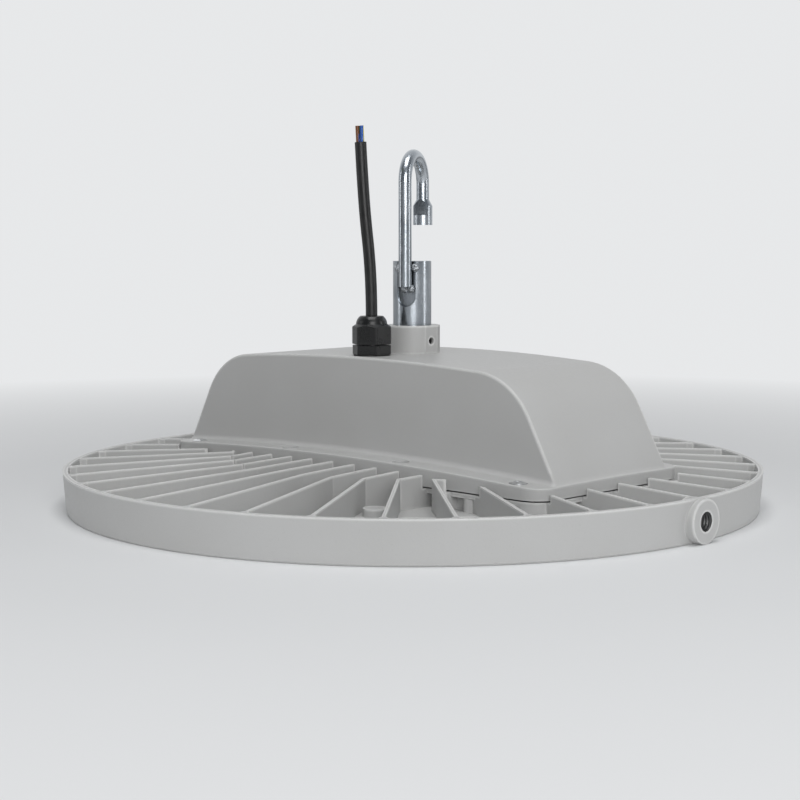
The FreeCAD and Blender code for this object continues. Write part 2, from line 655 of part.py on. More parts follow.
def make_hook():
    """The turned stem, its nut and washer, the bent rod with its nose, the welds and grub screw."""
    turned = Part.makeCylinder(value("stem_radius"), value("stem_top - neck_seat"),
                               Vector(0, 0, value("neck_seat")))
    tail = Part.makeCylinder(value("tail_radius"), value("stem_tail"),
                             Vector(0, 0, value("neck_seat - stem_tail")))
    width, floor = value("groove_width"), value("rod_offset - rod_radius")
    low, high = value("groove_base"), value("stem_top")
    depth = value("stem_radius")
    centre = low + width / 2
    groove = Part.makeBox(depth, width, high - low, Vector(-floor - depth, -width / 2, centre))
    round_end = Part.makeCylinder(width / 2, depth, Vector(-floor, 0, centre), Vector(-1, 0, 0))
    stem = turned.fuse(tail).cut(groove.fuse(round_end)).removeSplitter()

    radius, bend = value("rod_radius"), value("bend_radius")
    offset, crest = value("rod_offset"), value("bend_height")
    start = value("rod_start")
    long_leg = Part.makeCylinder(radius, crest - start, Vector(-offset, 0, start))
    section = Part.Face(Part.Wire(Part.makeCircle(radius, Vector(-offset, 0, crest))))
    arch = section.revolve(Vector(bend - offset, 0, crest), Vector(0, 1, 0), 180)
    nose_place = 2 * bend - offset
    base, top = value("nose_base"), value("nose_top")
    nose_radius, slope = value("nose_radius"), value("nose_slope")
    short_leg = Part.makeCylinder(radius, crest - base, Vector(nose_place, 0, base))
    nose = Part.makeCylinder(nose_radius, top - slope - base, Vector(nose_place, 0, base))
    shoulder = Part.makeCone(nose_radius, radius, slope, Vector(nose_place, 0, top - slope))
    notch = Part.makeBox(nose_radius, 2 * nose_radius, value("notch_height"),
                         Vector(nose_place - nose_radius - value("rod_radius"), -nose_radius,
                                top - value("notch_height")))
    rod = long_leg.fuse([arch, short_leg, nose, shoulder]).cut(notch).removeSplitter()

    weld = value("weld_radius")
    places = [Vector(-floor - weld / 2, side * (radius + weld / 2), high - 1.6 * weld)
              for side in (1, -1)]
    places += [Vector(-floor - weld / 3, side * weld, start - weld / 2) for side in (0.4, -1.1)]
    beads = [Part.makeSphere(weld, place).cut(rod).cut(stem) for place in places[:2]]
    root = Part.makeSphere(weld, places[2]).fuse(Part.makeSphere(weld, places[3]))
    beads.append(root.cut(rod).cut(stem))
    spin = Placement(Vector(), Rotation(Vector(0, 0, 1), value("hook_azimuth")))
    for name, shape in (("hook_stem", stem), ("hook_rod", rod),
                        ("weld_beads", Part.makeCompound(beads))):
        add_shape(name, shape).Placement = spin

    make_disc("stem_washer", f"{INNER_TOP} - fit_gap - washer_height", "washer_radius",
              "washer_height", "tail_radius + fit_gap")
    nut = new_body("stem_nut")
    flats = new_sketch(nut, offset=f"{INNER_TOP} - fit_gap - washer_height - nut_height")
    draw_outline(flats, hexagon(("0", "0"), "nut_flats"))
    draw_circle(flats, ("0", "0"), "tail_radius + fit_gap / 2")
    pad(flats, "nut_height")

    grub = new_body("grub_screw")
    screw = new_sketch(grub, "YZ_Plane", offset="stem_radius")
    draw_circle(screw, ("0", "grub_height"), "grub_radius - fit_gap / 2")
    draw_outline(screw, hexagon(("0", "grub_height"), "grub_socket"))
    pad(screw, "grub_length")


# ---------------------------------------------------------------- cable gland and cable

def make_gland():
    """Body with thread and hexagon, domed cap nut, seal, washer and the nut inside."""
    bore = "cable_radius + fit_gap"

    def sleeve(name, base, outer, inner, height):
        body = new_body(name)
        ring = new_sketch(body, offset=base)
        draw_circle(ring, GLAND_CENTRE, outer)
        draw_circle(ring, GLAND_CENTRE, inner)
        pad(ring, height)
        return body

    body = sleeve("gland_body", f"{INNER_TOP} - gland_tail", "gland_thread", bore,
                  f"{HEX_BASE} - {INNER_TOP} + gland_tail + 1")
    flats = new_sketch(body, offset=HEX_BASE)
    draw_outline(flats, hexagon(GLAND_CENTRE, "gland_flats"))
    draw_circle(flats, GLAND_CENTRE, bore)
    pad(flats, "gland_hex")
    neck = new_sketch(body, offset=f"{HEX_BASE} + gland_hex - 1")
    draw_circle(neck, GLAND_CENTRE, "neck_thread")
    draw_circle(neck, GLAND_CENTRE, bore)
    pad(neck, "neck_rise + 1")
    sleeve("gland_washer", GLAND_BASE, "gland_washer_radius", "gland_thread + fit_gap",
           "gland_washer")
    nut = new_body("gland_locknut")
    outline = new_sketch(nut, offset=f"{INNER_TOP} - fit_gap - locknut_height")
    draw_outline(outline, hexagon(GLAND_CENTRE, "locknut_flats", first=0))
    draw_circle(outline, GLAND_CENTRE, "gland_thread + fit_gap / 2")
    pad(outline, "locknut_height")
    seal_base = f"({HEX_BASE} + gland_hex + neck_rise)"
    sleeve("gland_seal", seal_base, "cap_shoulder - cap_wall", bore,
           f"{CAP_BASE} + cap_side + cap_cone - {seal_base}")

    base, side = value(CAP_BASE), value("cap_side")
    cone, dome = value("cap_cone"), value("cap_dome")
    reach, shoulder, mouth = value("cap_flats / 2"), value("cap_shoulder"), value("cap_mouth")
    corners = [Vector(*(value(number) for number in corner), base)
               for corner in hexagon(GLAND_CENTRE, "cap_flats")]
    height = side + cone + dome
    prism = Part.Face(Part.makePolygon(corners + corners[:1])).extrude(Vector(0, 0, height))
    top = base + height
    rim = Vector(shoulder, 0, base + side + cone)
    ease = (reach / math.cos(math.pi / 6)) - 0.3
    out = Vector(dome, 0, shoulder - mouth).normalize()
    sag = Vector((shoulder + mouth) / 2, 0, top - dome / 2) + value("cap_bulge") * out
    profile = Part.Wire([
        Part.makePolygon([Vector(0, 0, top), Vector(0, 0, base), Vector(ease, 0, base),
                          Vector(ease, 0, base + side), rim]),
        Part.Arc(rim, sag, Vector(mouth, 0, top)).toShape(),
        Part.makeLine(Vector(mouth, 0, top), Vector(0, 0, top))])
    middle = Vector(0, value("-gland_place"), 0)
    envelope = Part.Face(profile).revolve(Vector(), Vector(0, 0, 1), 360)
    envelope.translate(middle)
    hollow = Part.makeCylinder(value("neck_thread + fit_gap"),
                               value(f"{seal_base} - {CAP_BASE}") + 0.2,
                               middle + Vector(0, 0, base))
    seal_room = Part.makeCylinder(value("cap_shoulder - cap_wall + fit_gap"), side + cone,
                                  middle + Vector(0, 0, base))
    outlet = Part.makeCylinder(value(bore), top, middle)
    cap = prism.common(envelope).cut(hollow.fuse([seal_room, outlet]))
    add_shape("gland_cap", cap)


CABLE_ROUTE = [(0.0, 0.0, 0.0), (0.0, 0.0, 24.0), (-3.1, -3.0, 64.0), (-4.2, -4.0, 97.0)]


def tube(points, radius):
    """A round tube along straight runs joined by tangent arcs, with the radii of its arcs."""
    runs = [second - first for first, second in zip(points, points[1:])]
    pieces, radii, start = [], [], points[0]
    for before, corner, after in zip(runs, points[1:], runs[1:]):
        half = before.getAngle(after) / 2
        bend = 0.45 * min(before.Length, after.Length) / math.tan(half)
        back = bend * math.tan(half)
        leave = corner - before.normalize() * back
        arrive = corner + Vector(after).normalize() * back
        inward = (Vector(after).normalize() - before).normalize()
        centre = corner + inward * (bend / math.cos(half))
        crest = centre - inward * bend
        pieces += [Part.makeLine(start, leave), Part.Arc(leave, crest, arrive).toShape()]
        start = arrive
        radii.append(bend)
    pieces.append(Part.makeLine(start, points[-1]))
    path = Part.Wire(pieces)
    section = Part.Wire(Part.makeCircle(radius, points[0], points[1] - points[0]))
    return path.makePipeShell([section], True, False), path.Length, radii


def make_cable():
    """The cable inside the gland, the free length above it, and its three bare cores."""
    radius = value("cable_radius")
    top = value(CAP_TOP)
    middle = Vector(0, value("-gland_place"), 0)
    terminal_top = value(f"{DRIVER_TOP} + terminal_height")
    add_shape("cable_inner", Part.makeCylinder(radius, top - terminal_top,
                                               middle + Vector(0, 0, terminal_top)))
    points = [middle + Vector(0, 0, top) + Vector(*point) for point in CABLE_ROUTE]
    shape, length, radii = tube(points, radius)
    ratio = shape.Volume / (math.pi * radius ** 2 * length)
    print("cable: length", round(length, 2), "volume ratio", round(ratio, 4),
          "radii", [round(bend, 1) for bend in radii])
    add_shape("mains_cable", shape)
    end, heading = points[-1], (points[-1] - points[-2]).normalize()
    side = Vector(1, 0, 0).cross(heading).normalize()
    across = heading.cross(side)
    cores = []
    for angle in (math.radians(90 + 120 * core) for core in range(3)):
        place = end + value("core_circle") * (math.cos(angle) * side + math.sin(angle) * across)
        cores.append(Part.makeCylinder(value("core_radius"), value("core_length"), place, heading))
    add_shape("cable_cores", Part.makeCompound(cores))


# ---------------------------------------------------------------- build, check and export

make_heat_sink()
make_driver_housing()
make_gasket()
make_fasteners()
make_driver()
make_light_source()
make_hook()
make_gland()
make_cable()
doc.recompute()

for item in doc.Objects:
    if "Invalid" in item.State or "Error" in item.State:
        raise RuntimeError(f"{item.Label} failed: {item.State}")
for part in sub_parts:
    if part.Shape.isNull() or not part.Shape.isValid():
        raise RuntimeError(f"{part.Label} has no valid shape")
os.makedirs("parts", exist_ok=True)
for part in sub_parts:
    part.Shape.exportStep(f"parts/{part.Label}.step")
    box = part.Shape.BoundBox
    print(f"{part.Label:16s} solids {len(part.Shape.Solids):3d} faces {len(part.Shape.Faces):4d}"
          f" volume {part.Shape.Volume:10.0f} z {box.ZMin:7.2f} {box.ZMax:7.2f}")
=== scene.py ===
"""Looks of the high bay light: camera, cable, finishes, threads, screw heads and studio.

Everything is in metres, in the frame of the CAD model; MM turns millimetres into metres.
"""
import json
import math

import bpy
import numpy as np
from mathutils import Matrix, Vector


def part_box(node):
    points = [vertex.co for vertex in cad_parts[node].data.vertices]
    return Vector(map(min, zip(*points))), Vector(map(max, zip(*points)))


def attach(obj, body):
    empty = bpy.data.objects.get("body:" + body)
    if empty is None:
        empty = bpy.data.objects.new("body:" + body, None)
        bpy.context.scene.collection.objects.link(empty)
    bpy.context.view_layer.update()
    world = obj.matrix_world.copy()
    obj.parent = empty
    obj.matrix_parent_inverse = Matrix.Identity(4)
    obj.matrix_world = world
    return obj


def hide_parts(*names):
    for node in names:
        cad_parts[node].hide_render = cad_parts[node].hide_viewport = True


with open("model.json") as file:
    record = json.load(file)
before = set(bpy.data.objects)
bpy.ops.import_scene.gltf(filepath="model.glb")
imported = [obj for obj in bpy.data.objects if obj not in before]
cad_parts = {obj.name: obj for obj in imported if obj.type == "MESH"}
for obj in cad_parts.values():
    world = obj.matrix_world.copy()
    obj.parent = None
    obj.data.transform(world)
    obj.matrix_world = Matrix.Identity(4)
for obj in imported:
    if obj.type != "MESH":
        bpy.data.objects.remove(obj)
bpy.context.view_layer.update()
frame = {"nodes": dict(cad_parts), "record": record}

MM = 0.001
FULL_TURN = 2 * math.pi


def add_object(name, data):
    """Put data into the scene as a new object."""
    thing = bpy.data.objects.new(name, data)
    bpy.context.scene.collection.objects.link(thing)
    return thing


# ---------------------------------------------------------------- camera

CAMERA_PLACE = Vector((662.3, -686.7, 153.0)) * MM
CAMERA_AIM = Vector((-0.6962, 0.7111, -0.0984))
CAMERA_ROLL = math.radians(-0.108)
LENS, SENSOR = 74.25, 36.0


def add_camera():
    """A camera held by its place, its viewing direction and a slight roll."""
    data = bpy.data.cameras.new("camera")
    data.lens, data.sensor_width = LENS, SENSOR
    camera = add_object("camera", data)
    facing = CAMERA_AIM.to_track_quat("-Z", "Y").to_matrix().to_4x4()
    roll = Matrix.Rotation(CAMERA_ROLL, 4, "Z")
    camera.matrix_world = Matrix.Translation(CAMERA_PLACE) @ facing @ roll
    bpy.context.scene.camera = camera


add_camera()


# ---------------------------------------------------------------- cable

CABLE_RADIUS = 3.3 * MM
GLAND_MOUTH = Vector((0.0, -33.0, 108.7)) * MM
CABLE_ROUTE = [(0.0, 0.0, 0.0), (0.0, 0.0, 24.0), (-3.1, -3.0, 64.0), (-4.2, -4.0, 97.0)]


def add_cable():
    """The short stiff cable above the gland, swept along the route that its solid follows.

    The knots carry the radius and the bevel is one, because a curve's own box grows by the radii
    of its knots.
    """
    points = [GLAND_MOUTH + Vector(point) * MM for point in CABLE_ROUTE]
    curve = bpy.data.curves.new("cable", "CURVE")
    curve.dimensions = "3D"
    curve.bevel_depth, curve.bevel_resolution = 1.0, 6
    curve.use_fill_caps = True
    curve.resolution_u = 24
    spline = curve.splines.new("NURBS")
    spline.points.add(len(points) - 1)
    for knot, point in zip(spline.points, points):
        knot.co = (*point, 1.0)
        knot.radius = CABLE_RADIUS
    spline.order_u = 3
    spline.use_endpoint_u = True
    cable = add_object("cable", curve)
    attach(cable, "root")
    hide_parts("mains_cable")
    return cable


cable = add_cable()


# ---------------------------------------------------------------- shader helpers

EDGE_SAMPLES = 6

# The range that smooth noise fills, and that the sum of two noises fills.
ONE_NOISE, TWO_NOISES = (0.3, 0.7), (0.7, 1.3)


class Socket:
    """A value in a node tree, with the arithmetic that shaders need."""

    def __init__(self, graph, output):
        self.graph, self.output = graph, output

    def _math(self, operation, first, second):
        return self.graph.node("ShaderNodeMath", {0: first, 1: second}, operation=operation)

    def __add__(self, other):
        return self._math("ADD", self, other)

    def __radd__(self, other):
        return self._math("ADD", other, self)

    def __sub__(self, other):
        return self._math("SUBTRACT", self, other)

    def __rsub__(self, other):
        return self._math("SUBTRACT", other, self)

    def __mul__(self, other):
        return self._math("MULTIPLY", self, other)

    def __rmul__(self, other):
        return self._math("MULTIPLY", other, self)


class Graph:
    """A node tree, emptied and then built node by node."""

    def __init__(self, tree):
        self.tree = tree
        tree.nodes.clear()

    def node(self, kind, inputs=None, output=0, **settings):
        """Add a node, set its properties, then its inputs, and return one of its outputs."""
        node = self.tree.nodes.new(kind)
        for key, value in settings.items():
            setattr(node, key, value)
        for key, value in (inputs or {}).items():
            if isinstance(value, Socket):
                self.tree.links.new(value.output, node.inputs[key])
            else:
                node.inputs[key].default_value = value
        return Socket(self, node.outputs[output]) if node.outputs else None

    def span(self, source, low, high, to_low=0.0, to_high=1.0):
        """Map a range to another, clamped."""
        return self.node("ShaderNodeMapRange", {"Value": source, "From Min": low, "From Max": high,
                                                "To Min": to_low, "To Max": to_high})

    def mix(self, factor, first, second):
        """Blend two colours; the node's inputs 0, 6 and 7 are its factor and its colours."""
        return self.node("ShaderNodeMix", {0: factor, 6: first, 7: second}, output=2,
                         data_type="RGBA")


class Maker(Graph):
    """One material: its Object coordinates, its Principled shader and what feeds it."""

    def __init__(self, name, **constants):
        self.material = bpy.data.materials.new(name)
        self.material.use_nodes = True
        super().__init__(self.material.node_tree)
        self.shader = self.tree.nodes.new("ShaderNodeBsdfPrincipled")
        self.end = self.tree.nodes.new("ShaderNodeOutputMaterial")
        self.principled = Socket(self, self.shader.outputs[0])
        self.show(self.principled)
        for socket, value in constants.items():
            self.shader.inputs[socket.replace("_", " ")].default_value = value
        self.place = self.node("ShaderNodeTexCoord", output="Object")

    def show(self, shader):
        """Let the material end in this shader."""
        self.tree.links.new(shader.output, self.end.inputs["Surface"])

    def link(self, socket, source):
        """Feed one input of the Principled shader."""
        self.tree.links.new(source.output, self.shader.inputs[socket])

    def noise(self, scale, detail=3.0, stretch=None):
        """Smooth noise about one half; scale is in features per metre, times stretch by axis."""
        place = self.place
        if stretch:
            place = self.node("ShaderNodeVectorMath", {0: place, 1: stretch}, operation="MULTIPLY")
        return self.node("ShaderNodeTexNoise", {"Vector": place, "Scale": scale, "Detail": detail},
                         output="Fac")

    def coordinate(self, axis):
        """The X, Y or Z of the point on the surface."""
        return self.node("ShaderNodeSeparateXYZ", {0: self.place}, output=axis)

    def openness(self, distance):
        """One on open surfaces, falling towards zero in corners narrower than the distance."""
        return self.node("ShaderNodeAmbientOcclusion", {"Distance": distance}, output="AO",
                         samples=EDGE_SAMPLES)

    def sharpness(self, radius):
        """Zero on flat faces, rising near edges, where a normal rounded by the radius turns."""
        rounded = self.node("ShaderNodeBevel", {"Radius": radius}, samples=EDGE_SAMPLES)
        normal = self.node("ShaderNodeNewGeometry", output="Normal")
        return 1.0 - self.node("ShaderNodeVectorMath", {0: rounded, 1: normal}, output="Value",
                               operation="DOT_PRODUCT")

    def height(self, *layers, rounding=None):
        """Chain bump layers, each a pair of height socket and depth in metres, over soft edges."""
        normal = None
        if rounding:
            normal = self.node("ShaderNodeBevel", {"Radius": rounding}, samples=EDGE_SAMPLES)
        for source, depth in layers:
            inputs = {"Height": source, "Distance": depth, "Strength": 1.0}
            if normal:
                inputs["Normal"] = normal
            normal = self.node("ShaderNodeBump", inputs)
        self.link("Normal", normal)


def grey(level, warm=0.0):
    """A grey colour with a slight warm shift."""
    return (level * (1 + warm), level, level * (1 - warm), 1.0)


# ---------------------------------------------------------------- materials

COAT_COLOURS = ((0.475, 0.475, 0.468), (0.505, 0.507, 0.503))
# A dark grey painted into the coat's corners as shade, and the colour of the coat's own flecks.
COAT_CORNER_SHADE, COAT_FLECK = (0.22, 0.215, 0.205, 1), (0.36, 0.36, 0.35, 1)
# Painted highlight on convex edges: its pale colour, how strongly it shows above and below a
# height, and those heights.
COAT_EDGE_HIGHLIGHT = (0.80, 0.80, 0.79, 1)
FLECK_SHOWS, EDGE_HIGHLIGHT_SHOWS, LOW_EDGE_HIGHLIGHT_SHOWS = 0.18, 0.8, 0.2
HIGHLIGHT_ABOVE_RIM, HIGHLIGHT_ABOVE_SKIRT = -2.0 * MM, 33.0 * MM
# Painted shade: the housing's coat is the same coat with its colours darkened by this factor.
HOUSING_PAINTED_SHADE = 0.95

# A near-black colour painted into the recesses of plated metal as shade.
PLATE_RECESS_SHADE = (0.05, 0.052, 0.055, 1)
WELD_BRIGHT, WELD_BURNT = (0.62, 0.65, 0.68, 1), (0.16, 0.165, 0.17, 1)
LENS_COLOURS = ((0.80, 0.84, 0.86, 1), (0.90, 0.92, 0.92, 1))
CORE_BROWN, CORE_BLUE = (0.16, 0.06, 0.02, 1), (0.02, 0.09, 0.36, 1)
CORE_GREEN, CORE_YELLOW = (0.03, 0.25, 0.05, 1), (0.75, 0.62, 0.03, 1)


def powder_coat(name, highlit_above, shade=1.0):
    """Light grey satin powder coat: orange peel, slow cloudiness, flecks, painted shade in corners.

    Convex edges carry a painted highlight, full above the given height and faint below it, and the
    shade scales the coat's colours, which paints shade where it is below one.
    """
    coat = Maker(name, Metallic=0.0, IOR=1.48)
    cloud = coat.noise(14.0, 2.0)
    peel = coat.noise(520.0, 2.0)
    low, high = ((*(shade * part for part in colour), 1.0) for colour in COAT_COLOURS)
    base = coat.mix(coat.span(cloud, *ONE_NOISE), low, high)
    open_sky = coat.openness(7.0 * MM)
    patches = coat.span(coat.noise(60.0), *ONE_NOISE, 0.5, 1.0)
    # Painted shade: the coat darkens in corners narrower than the distance, in patches.
    base = coat.mix(coat.span(open_sky, 0.15, 0.6, 0.3, 0.0) * patches, base, COAT_CORNER_SHADE)
    fleck = coat.span(coat.noise(1100.0, 1.0), 0.66, 0.74)
    base = coat.mix(fleck * FLECK_SHOWS, base, COAT_FLECK)
    # Painted highlight: open convex edges are painted paler, fully above the given height and
    # faintly below it.
    edge = coat.span(coat.sharpness(2.2 * MM), 0.003, 0.045) * coat.span(open_sky, 0.5, 0.8)
    edge_highlight_strength = coat.span(coat.coordinate("Z"), highlit_above, highlit_above + 2.0 * MM,
                     LOW_EDGE_HIGHLIGHT_SHOWS, EDGE_HIGHLIGHT_SHOWS)
    coat.link("Base Color", coat.mix(edge * edge_highlight_strength, base, COAT_EDGE_HIGHLIGHT))
    coat.link("Roughness", coat.span(cloud + peel, *TWO_NOISES, 0.36, 0.47))
    coat.height((coat.noise(1500.0, 2.0), 0.03 * MM), (peel, 0.05 * MM), rounding=0.7 * MM)
    return coat.material


def plated_steel(name, low, high, roughness, brushed, recess_shade=0.75):
    """Plated metal: slow clouding between two colours, fine marks, painted shade in recesses.

    The marks are drawn out along each axis whose factor in brushed is small.
    """
    steel = Maker(name, Metallic=1.0)
    cloud = steel.noise(70.0, 2.0)
    marks = steel.noise(900.0, 2.0, stretch=brushed)
    base = steel.mix(steel.span(cloud, *ONE_NOISE), low, high)
    # Painted shade: recesses darken towards the near-black colour, at most by the given strength.
    recess = steel.span(steel.openness(5.0 * MM), 0.2, 0.75, recess_shade, 0.0)
    steel.link("Base Color", steel.mix(recess, base, PLATE_RECESS_SHADE))
    steel.link("Roughness", steel.span(marks + cloud, *TWO_NOISES,
                                    roughness - 0.04, roughness + 0.07))
    steel.height((marks, 0.01 * MM))
    return steel.material


def weld_steel():
    """Rough plated weld metal: laid ripples and heat-darkened patches."""
    weld = Maker("weld_steel", Metallic=1.0)
    ripple = weld.noise(700.0, stretch=(1.0, 1.0, 2.2))
    heat = weld.noise(380.0, 2.0)
    weld.link("Base Color", weld.mix(weld.span(heat, 0.4, 0.65), WELD_BRIGHT, WELD_BURNT))
    weld.link("Roughness", weld.span(ripple, *ONE_NOISE, 0.2, 0.42))
    weld.height((ripple, 0.8 * MM))
    return weld.material


def moulded(name, low, high, roughness):
    """Moulded plastic or rubber: fine grain, softened edges, slight variation of colour."""
    plastic = Maker(name, IOR=1.5)
    cloud = plastic.noise(160.0)
    plastic.link("Base Color", plastic.mix(plastic.span(cloud, 0.35, 0.7), low, high))
    plastic.link("Roughness", plastic.span(cloud, *ONE_NOISE,
                                           roughness - 0.06, roughness + 0.08))
    plastic.height((plastic.noise(2200.0, 2.0), 0.03 * MM), rounding=0.5 * MM)
    return plastic.material


def clear_lens():
    """Clear polycarbonate with a shallow moulded cell pattern that hazes it a little."""
    lens = Maker("clear_lens", IOR=1.58)
    cells = lens.node("ShaderNodeTexVoronoi", {"Vector": lens.place, "Scale": 160.0},
                      output="Distance")
    cloud = lens.noise(90.0, 2.0)
    lens.link("Base Color", lens.mix(cloud, *LENS_COLOURS))
    lens.link("Alpha", lens.span(cells + cloud * 0.1, 0.1, 0.7, 0.05, 0.16))
    lens.link("Roughness", lens.span(cloud, *ONE_NOISE, 0.14, 0.24))
    lens.height((cells, 0.1 * MM))
    return lens.material


def wire_sleeves():
    """The three cores in brown, blue, and green with yellow, told apart by their place."""
    sleeve = Maker("core_sleeve", Roughness=0.35)
    low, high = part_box("cable_cores")

    def beyond_middle(number, axis):
        middle = (low[number] + high[number]) / 2
        return sleeve.node("ShaderNodeMath", {0: sleeve.coordinate(axis), 1: middle},
                           operation="GREATER_THAN")

    stripes = sleeve.span(sleeve.noise(500.0, 0.0, stretch=(1.0, 1.0, 0.1)), 0.5, 0.52)
    striped = sleeve.mix(stripes, CORE_GREEN, CORE_YELLOW)
    plain = sleeve.mix(beyond_middle(0, "X"), CORE_BROWN, CORE_BLUE)
    sleeve.link("Base Color", sleeve.mix(beyond_middle(1, "Y"), plain, striped))
    sleeve.height((sleeve.noise(1800.0, 2.0), 0.02 * MM))
    return sleeve.material


MATERIALS = {
    "powder_coat": powder_coat("powder_coat", HIGHLIGHT_ABOVE_RIM),
    # The housing wears a copy of the coat that is darkened as painted shade.
    "housing_shaded_coat": powder_coat("housing_shaded_coat", HIGHLIGHT_ABOVE_SKIRT, HOUSING_PAINTED_SHADE),
    "zinc_steel": plated_steel("zinc_steel", (0.46, 0.495, 0.53, 1), (0.60, 0.635, 0.67, 1), 0.23,
                               (1.0, 1.0, 0.05)),
    "bright_screw": plated_steel("bright_screw", (0.78, 0.79, 0.80, 1), (0.88, 0.89, 0.90, 1), 0.2,
                                 (1.0, 1.0, 1.0), recess_shade=0.2),
    # Painted shade: the walls of the tapped holes are dark grey to stand for the shade inside the
    # bores.
    "shaded_tapped_metal": plated_steel("shaded_tapped_metal", grey(0.16), grey(0.22), 0.48, (1.0, 0.2, 0.2)),
    "dark_steel": plated_steel("dark_steel", grey(0.10), grey(0.14), 0.36, (1.0, 1.0, 0.2)),
    "driver_case": plated_steel("driver_case", grey(0.5), grey(0.6), 0.4, (0.06, 1.0, 1.0)),
    "weld_steel": weld_steel(),
    "black_rubber": moulded("black_rubber", grey(0.012), grey(0.022), 0.62),
    "black_plastic": moulded("black_plastic", grey(0.007), grey(0.013), 0.3),
    "cable_black": moulded("cable_black", grey(0.007), grey(0.013), 0.34),
    "grey_rubber": moulded("grey_rubber", grey(0.25), grey(0.3), 0.7),
    "white_plastic": moulded("white_plastic", grey(0.72, 0.02), grey(0.8, 0.02), 0.4),
    "board_white": moulded("board_white", grey(0.78), grey(0.86), 0.35),
    "lamp_yellow": moulded("lamp_yellow", (0.8, 0.5, 0.05, 1), (0.9, 0.62, 0.1, 1), 0.3),
    "lead_sleeve": moulded("lead_sleeve", (0.4, 0.02, 0.02, 1), (0.5, 0.03, 0.02, 1), 0.35),
    "core_sleeve": wire_sleeves(),
    "clear_lens": clear_lens(),
}

FINISH_OF_NODE = {"weld_beads": "weld_steel", "housing_screws": "bright_screw",
                  "driver_housing": "housing_shaded_coat"}


def dress_nodes():
    """Give each CAD node its own finish, or that of its slot in the record."""
    for entry in frame["record"]["subparts"]:
        node = frame["nodes"][entry["node"]]
        finish = FINISH_OF_NODE.get(entry["node"], entry["material_slot"])
        node.data.materials.clear()
        node.data.materials.append(MATERIALS[finish])


dress_nodes()
cable.data.materials.append(MATERIALS["cable_black"])


# ---------------------------------------------------------------- meshes of the new pieces

def ring_faces(shape, first=0):
    """The quads of a grid whose rows are closed rings, with points numbered from the first."""
    index = first + np.arange(shape[0] * shape[1]).reshape(shape)
    following = np.roll(index, -1, axis=1)
    corners = (index[:-1], index[1:], following[1:], following[:-1])
    return np.stack(corners, axis=-1).reshape(-1, 4)


def add_piece(name, points, faces, finish, smooth=False):
    """A mesh with its finish, fixed to the only body."""
    mesh = bpy.data.meshes.new(name)
    mesh.from_pydata(points, [], faces)
    if smooth:
        mesh.shade_smooth()
    mesh.materials.append(MATERIALS[finish])
    piece = add_object(name, mesh)
    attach(piece, "root")


# ---------------------------------------------------------------- tapped holes of the side bosses

BOSS_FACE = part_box("heat_sink")[1][0]
THREAD_AXIS = 11.5 * MM
THREAD_MOUTH = BOSS_FACE - 0.3 * MM
THREAD_END = THREAD_MOUTH - 12.2 * MM
THREAD_ROOT, THREAD_DEPTH, THREAD_PITCH = 5.05 * MM, 0.5 * MM, 1.75 * MM
THREAD_ROWS, THREAD_COLUMNS = 72, 48


def add_thread(name, side):
    """The tapped wall of one side boss; side is 1 on the right and -1 on the left.

    On a grid of depth and angle, the radius is the root radius less a triangle wave of the phase
    depth / pitch + angle / full turn, and the wave dies out over the last pitch before the mouth.
    The left wall mirrors the right one, so its faces list their corners the other way round.
    """
    depths = np.linspace(THREAD_END, THREAD_MOUTH, THREAD_ROWS)
    angles = np.linspace(0.0, FULL_TURN, THREAD_COLUMNS, endpoint=False)
    depth, angle = np.meshgrid(depths, angles, indexing="ij")
    phase = (depth / THREAD_PITCH + angle / FULL_TURN) % 1.0
    wave = 1.0 - np.abs(2.0 * phase - 1.0)
    fading = np.clip((THREAD_MOUTH - depth) / THREAD_PITCH, 0.0, 1.0)
    radius = THREAD_ROOT - THREAD_DEPTH * wave * fading
    points = np.stack((side * depth, radius * np.cos(angle), THREAD_AXIS + radius * np.sin(angle)),
                      axis=-1).reshape(-1, 3)
    faces = np.roll(ring_faces(depth.shape)[:, ::side], -side, axis=1)
    add_piece(name, points.tolist(), faces.tolist(), "shaded_tapped_metal")


add_thread("side_thread_right", 1)
add_thread("side_thread_left", -1)


# ---------------------------------------------------------------- domed heads of the housing screws

SCREWS_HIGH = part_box("housing_screws")[1]
HEAD_RADIUS, HEAD_TOP = 4.4 * MM, SCREWS_HIGH[2]
SCREW_OUTER, SCREW_INNER, SCREW_ROW = SCREWS_HIGH[0] - HEAD_RADIUS, 44.5 * MM, 55.2 * MM
HEAD_PLACES = [(side * along, end * SCREW_ROW) for along in (SCREW_OUTER, SCREW_INNER)
               for side in (1, -1) for end in (1, -1)]
DOME_RADIUS, DOME_RISE = HEAD_RADIUS - 0.04 * MM, 0.9 * MM
DOME_RINGS, DOME_COLUMNS, RING_SPREAD = 25, 64, 0.8
CROSS_HALF_LENGTH, CROSS_HALF_WIDTH, CROSS_DEPTH = 2.2 * MM, 0.5 * MM, 1.0 * MM
CROSS_END_SLOPE, CROSS_SIDE_SLOPE = 0.4 * MM, 0.25 * MM


def dome_height(across, along):
    """The height of a screw head at a place measured from its middle.

    It is the dome's rise times one less the square of the relative radius, minus the cross
    recess, which sinks by its depth wherever the place lies in either arm, over short slopes.
    """
    span = np.hypot(across, along) / DOME_RADIUS
    arms = [np.clip((CROSS_HALF_LENGTH - np.abs(down)) / CROSS_END_SLOPE, 0, 1)
            * np.clip((CROSS_HALF_WIDTH - np.abs(over)) / CROSS_SIDE_SLOPE + 0.5, 0, 1)
            for down, over in ((across, along), (along, across))]
    return HEAD_TOP + DOME_RISE * (1 - span ** 2) - CROSS_DEPTH * np.maximum(*arms)


